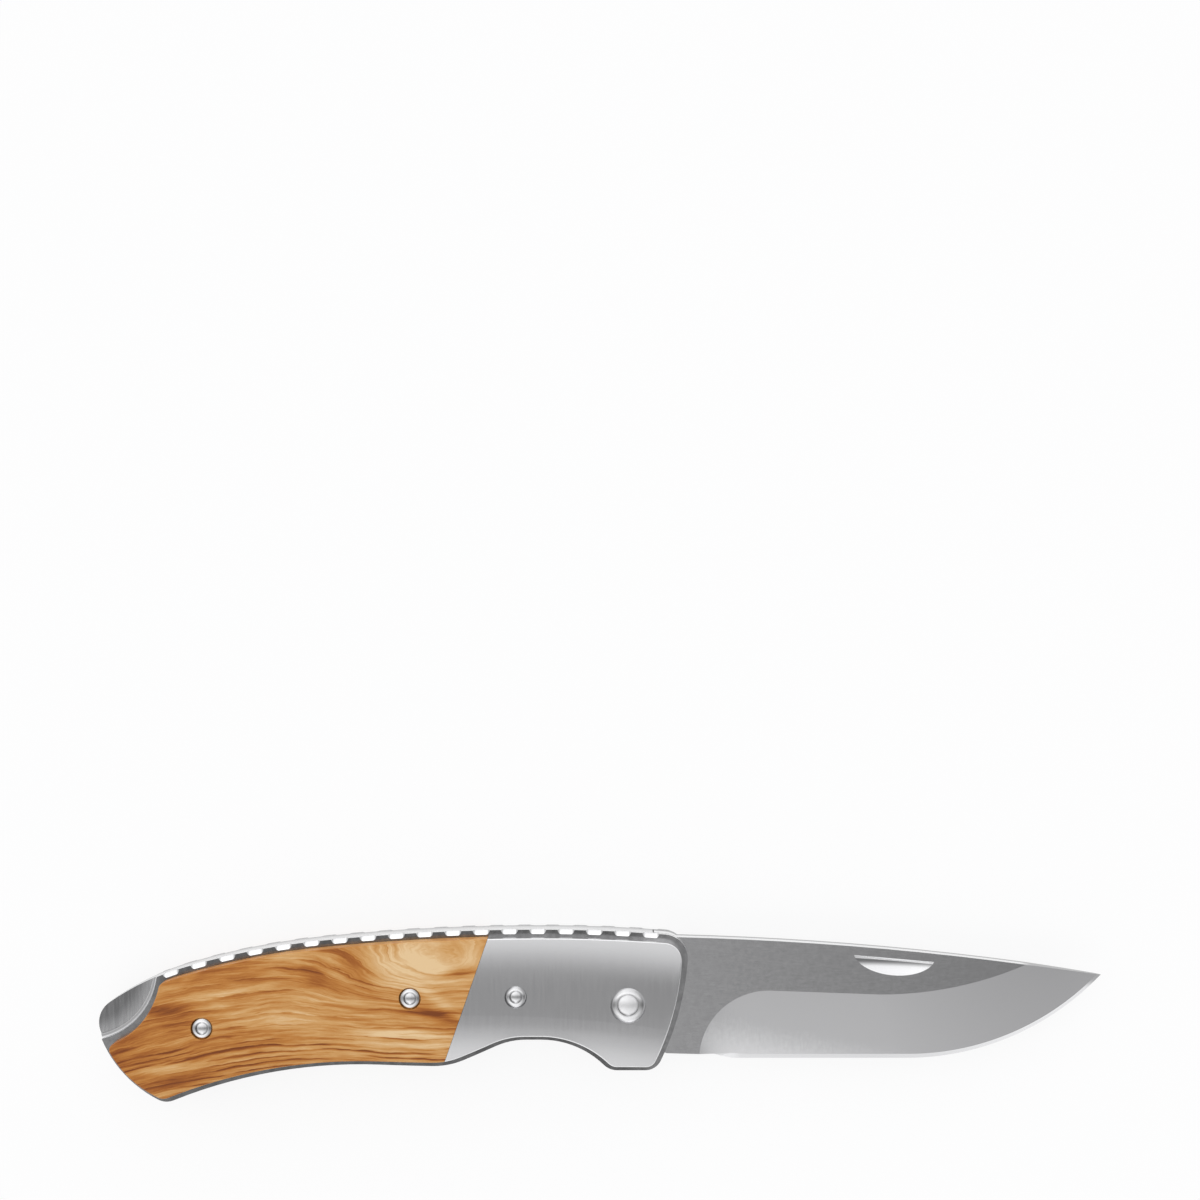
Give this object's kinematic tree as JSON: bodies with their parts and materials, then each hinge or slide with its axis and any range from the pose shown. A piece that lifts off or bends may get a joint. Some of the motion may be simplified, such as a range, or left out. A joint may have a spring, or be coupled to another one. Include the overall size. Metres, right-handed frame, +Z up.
{
  "type": "folding pocket knife",
  "caption": "Lock-back folding pocket knife: a drop-point blade with a nail nick folds into a slotted handle of steel bolsters and wooden scales; a rocking bar along the spine holds it open.",
  "frame": {"origin": "on the blade's pivot axis, on the flat band of the back covers that the knife lies on", "axes": "+X towards the tip of the open blade, +Y towards the spine, +Z up through the thickness to the side with the nail nick"},
  "size_m": [0.1899, 0.0325, 0.0114],
  "materials": {
    "blade_steel": "satin, brushed lengthways on the flats",
    "lock_bar_steel": "brushed",
    "liner_steel": "satin",
    "bolster_steel": "brushed",
    "scale_wood": "oiled olive wood",
    "spring_steel": "blued satin",
    "washer_bronze": "satin bronze",
    "rosette_steel": "polished",
    "rivet_steel": "polished"
  },
  "bodies": {
    "handle": {"front_liner": "liner_steel", "back_liner": "liner_steel", "front_bolster": "bolster_steel", "back_bolster": "bolster_steel", "front_scale": "scale_wood", "back_scale": "scale_wood", "leaf_spring": "spring_steel", "spring_block": "spring_steel", "front_pivot_washer": "washer_bronze", "back_pivot_washer": "washer_bronze", "front_pivot_rosette": "rosette_steel", "back_pivot_rosette": "rosette_steel", "front_bolster_rosette": "rosette_steel", "back_bolster_rosette": "rosette_steel", "front_scale_rosette": "rosette_steel", "back_scale_rosette": "rosette_steel", "front_butt_rosette": "rosette_steel", "back_butt_rosette": "rosette_steel", "blade_pivot_pin": "rivet_steel", "rocker_pin": "rivet_steel", "upper_block_dowel": "rivet_steel", "lower_block_dowel": "rivet_steel", "front_bolster_rivet": "rivet_steel", "back_bolster_rivet": "rivet_steel", "front_scale_rivet": "rivet_steel", "back_scale_rivet": "rivet_steel", "front_butt_rivet": "rivet_steel", "back_butt_rivet": "rivet_steel"},
    "blade": {"blade": "blade_steel"},
    "lock_bar": {"lock_bar": "lock_bar_steel"}
  },
  "joints": [
    {"name": "blade_fold", "type": "hinge", "parent": "handle", "child": "blade", "pos_m": [0, 0, 0.00568], "axis": [0, 0, 1], "range_deg": [-174, 0]},
    {"name": "lock_rock", "type": "hinge", "parent": "handle", "child": "lock_bar", "pos_m": [-0.047, 0.0098, 0.00568], "axis": [0, 0, 1], "range_deg": [-0.7, 3.5], "stiffness_Nm_per_rad": 6, "deforming": ["leaf_spring"]}
  ]
}
